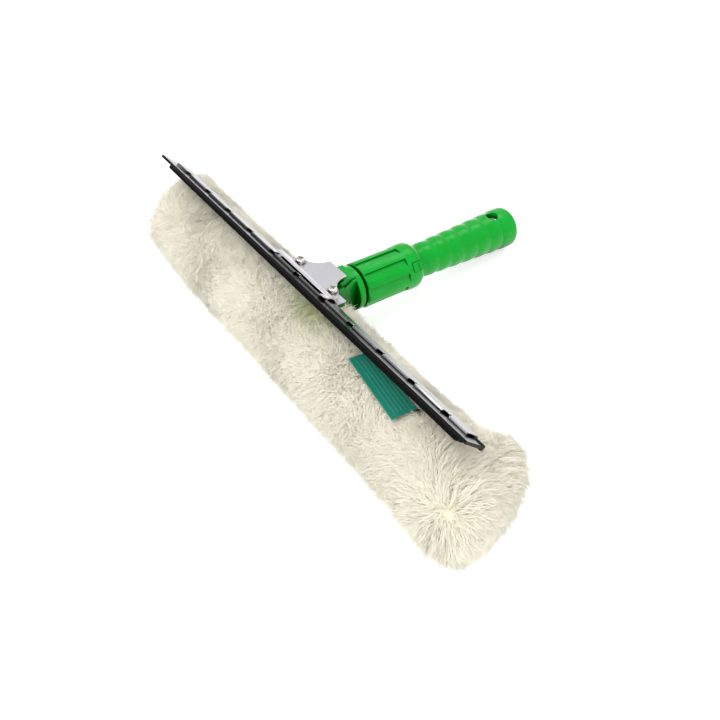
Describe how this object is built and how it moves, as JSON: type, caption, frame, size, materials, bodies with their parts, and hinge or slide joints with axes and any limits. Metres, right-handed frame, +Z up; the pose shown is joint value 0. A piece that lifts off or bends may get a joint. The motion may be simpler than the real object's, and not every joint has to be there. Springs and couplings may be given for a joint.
{
  "type": "window washer with squeegee",
  "caption": "Fleece-covered T-bar window washer with a rubber squeegee clamped above it by a two-screw bracket, on a green ribbed grip with a locking collar and pole socket.",
  "frame": {"origin": "middle of the footprint on the table under the resting tool", "axes": "+X along the T-bar towards the label's end, +Y back towards the grip's end and level with the table, +Z up"},
  "size_m": [0.4128, 0.2513, 0.0857],
  "materials": {
    "fleece": "long cream pile",
    "label_cloth": "woven, teal",
    "closure_tape": "hook and loop",
    "bar_aluminium": "plain extruded",
    "black_plastic": "matt",
    "green_plastic": "bright green, smooth",
    "steel": "stainless, smooth",
    "screw_steel": "bright",
    "washer_plastic": "plain",
    "blade_rubber": "soft, black"
  },
  "bodies": {
    "washer": {"fleece_sleeve": "fleece", "sleeve_label": "label_cloth", "closure_loop_strip": "closure_tape", "closure_hook_strip": "closure_tape", "t_bar": "bar_aluminium", "t_bar_cap_left": "black_plastic", "t_bar_cap_right": "black_plastic", "t_bar_screws": "screw_steel", "head_yoke": "green_plastic", "friction_washer": "washer_plastic", "bracket_plate": "steel", "clamp_jaw": "steel", "clamp_nuts": "screw_steel"},
    "handle": {"grip": "green_plastic"},
    "collar": {"locking_collar": "green_plastic", "latch_spring": "steel"},
    "latch": {"latch_tab": "green_plastic"},
    "left_lift": {"spring_washer_left": "screw_steel"},
    "left_screw": {"clamp_screw_left": "screw_steel"},
    "right_lift": {"spring_washer_right": "screw_steel"},
    "right_screw": {"clamp_screw_right": "screw_steel"},
    "squeegee": {"squeegee_channel": "steel", "squeegee_rubber": "blade_rubber", "backing_strip": "black_plastic", "channel_clips": "black_plastic"}
  },
  "joints": [
    {"name": "handle_swivel", "type": "hinge", "parent": "washer", "child": "handle", "pos_m": [-0.00957, -0.0033, 0.03477], "axis": [0, 0.9892, -0.1468], "continuous": true},
    {"name": "collar_turn", "type": "hinge", "parent": "washer", "child": "collar", "pos_m": [-0.00957, -0.0033, 0.03477], "axis": [0, 0.9892, -0.1468], "range_deg": [0, 90]},
    {"name": "latch_press", "type": "slide", "parent": "collar", "child": "latch", "axis": [-0.8387, -0.0799, -0.5387], "range_m": [0, 0.0015], "stiffness_N_per_m": 1500},
    {"name": "left_screw_lift", "type": "slide", "parent": "washer", "child": "left_lift", "axis": [0, 0.1468, 0.9892], "range_m": [0, 0.0014]},
    {"name": "left_screw_turn", "type": "hinge", "parent": "left_lift", "child": "left_screw", "pos_m": [-0.02957, -0.06206, 0.06795], "axis": [0, 0.1468, 0.9892], "range_deg": [0, 720.05]},
    {"name": "right_screw_lift", "type": "slide", "parent": "washer", "child": "right_lift", "axis": [0, 0.1468, 0.9892], "range_m": [0, 0.0014]},
    {"name": "right_screw_turn", "type": "hinge", "parent": "right_lift", "child": "right_screw", "pos_m": [0.01043, -0.06206, 0.06795], "axis": [0, 0.1468, 0.9892], "range_deg": [0, 720.05]},
    {"name": "squeegee_shift", "type": "slide", "parent": "washer", "child": "squeegee", "axis": [1, 0, 0], "range_m": [-0.03, 0.03]}
  ],
  "couplings": [
    {"joint": "left_screw_turn", "follows": "left_screw_lift", "rad_per_m": 8976},
    {"joint": "right_screw_turn", "follows": "right_screw_lift", "rad_per_m": 8976}
  ]
}
